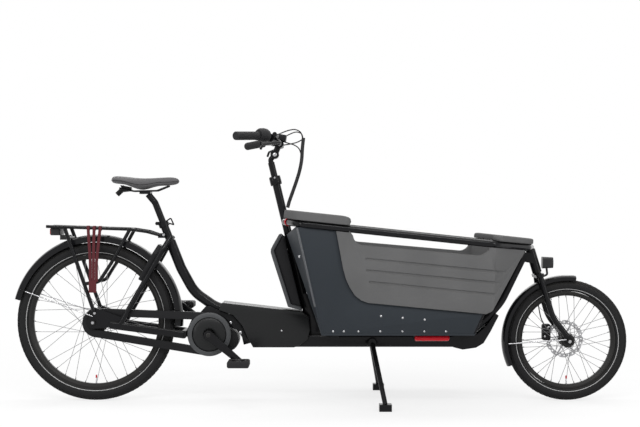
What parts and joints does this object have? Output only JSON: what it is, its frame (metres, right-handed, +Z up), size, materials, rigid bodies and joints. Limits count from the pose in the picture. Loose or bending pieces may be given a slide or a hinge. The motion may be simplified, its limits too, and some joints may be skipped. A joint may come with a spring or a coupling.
{
  "type": "electric cargo bicycle",
  "caption": "Long front-loading cargo bicycle with a hollow box, mid motor, linked steering, rear rack and a centre stand.",
  "frame": {"origin": "on the floor, midway between the rear mudguard's end and the front tyre, in the plane of symmetry", "axes": "+X forward, +Y to the rider's left, +Z up"},
  "size_m": [2.5951, 0.7102, 1.1449],
  "materials": {
    "frame_black": "satin black paint",
    "shell_blue_black": "satin blue-black powder coat",
    "foam_grey": "dense moulded foam, matt dark grey",
    "gloss_black": "gloss black",
    "plastic_black": "matt black plastic",
    "cover_grey": "satin grey plastic",
    "tyre_black": "matt rubber",
    "rim_black": "satin black",
    "spoke_steel": "plain steel wire",
    "hub_black": "satin black",
    "bare_steel": "plain steel",
    "rubber_black": "matt",
    "saddle_grey": "matt dark grey cover",
    "red_gloss": "gloss red",
    "strap_bordeaux": "matt bordeaux rubber",
    "lamp_black": "black housing, clear or red lens"
  },
  "bodies": {
    "frame_group": {"battery_case": "plastic_black", "box_back": "shell_blue_black", "box_floor": "shell_blue_black", "box_nose": "shell_blue_black", "chain_guard": "plastic_black", "chainstays": "frame_black", "front_frame": "frame_black", "front_rim_pad": "foam_grey", "left_window_panel": "foam_grey", "main_tube": "frame_black", "motor": "plastic_black", "motor_cradle": "frame_black", "pocket_liner": "plastic_black", "rack_straps": "strap_bordeaux", "rear_axle": "bare_steel", "rear_light": "lamp_black", "rear_mudguard": "gloss_black", "rear_rack": "gloss_black", "rear_rim_pad": "foam_grey", "right_window_panel": "foam_grey", "ring_lock": "plastic_black", "saddle": "saddle_grey", "seat_clamp": "frame_black", "seatpost": "frame_black", "seatstays": "frame_black", "side_shells": "shell_blue_black", "side_steps": "red_gloss", "steering_head_tube": "frame_black", "storage_pocket": "cover_grey", "top_rail": "gloss_black", "under_beam": "frame_black"},
    "handlebar_group": {"steering_column": "gloss_black", "stem": "frame_black", "handlebar": "gloss_black", "grips": "rubber_black", "brake_levers": "frame_black", "display_unit": "plastic_black", "cable_bundle": "rubber_black"},
    "fork_group": {"fork": "frame_black", "front_axle": "bare_steel", "front_caliper": "plastic_black", "front_brake_hose": "rubber_black", "headlight": "lamp_black", "front_mudguard": "gloss_black"},
    "front_wheel_group": {"front_tyre": "tyre_black", "front_rim": "rim_black", "front_spokes": "spoke_steel", "front_hub": "hub_black", "front_rotor": "bare_steel"},
    "rear_wheel_group": {"rear_tyre": "tyre_black", "rear_rim": "rim_black", "rear_spokes": "spoke_steel", "rear_hub": "hub_black"},
    "crank_group": {"cranks": "frame_black"},
    "right_pedal_group": {"right_pedal": "rubber_black"},
    "left_pedal_group": {"left_pedal": "rubber_black"},
    "stand_group": {"stand_legs": "frame_black"}
  },
  "joints": [
    {"name": "steering", "type": "hinge", "parent": "frame_group", "child": "handlebar_group", "pos_m": [-0.1842, 0, 0.9104], "axis": [-0.234, 0, 0.9722], "range_deg": [-45, 45]},
    {"name": "fork_steer", "type": "hinge", "parent": "frame_group", "child": "fork_group", "pos_m": [0.9095, 0, 0.5853], "axis": [-0.287, 0, 0.9579], "range_deg": [-45, 45]},
    {"name": "front_wheel_spin", "type": "hinge", "parent": "fork_group", "child": "front_wheel_group", "pos_m": [1.046, 0, 0.255], "axis": [0, 1, 0], "continuous": true},
    {"name": "rear_wheel_spin", "type": "hinge", "parent": "frame_group", "child": "rear_wheel_group", "pos_m": [-0.95, 0, 0.3345], "axis": [0, 1, 0], "continuous": true},
    {"name": "crank_spin", "type": "hinge", "parent": "frame_group", "child": "crank_group", "pos_m": [-0.465, 0, 0.284], "axis": [0, 1, 0], "continuous": true},
    {"name": "right_pedal_spin", "type": "hinge", "parent": "crank_group", "child": "right_pedal_group", "pos_m": [-0.33477, -0.15, 0.17473], "axis": [0, 1, 0], "continuous": true},
    {"name": "left_pedal_spin", "type": "hinge", "parent": "crank_group", "child": "left_pedal_group", "pos_m": [-0.59523, 0.15, 0.39327], "axis": [0, 1, 0], "continuous": true},
    {"name": "stand_fold", "type": "hinge", "parent": "frame_group", "child": "stand_group", "pos_m": [0.218, 0, 0.253], "axis": [0, 1, 0], "range_deg": [0, 98]}
  ],
  "couplings": [
    {"joint": "fork_steer", "follows": "steering", "ratio": 1}
  ]
}
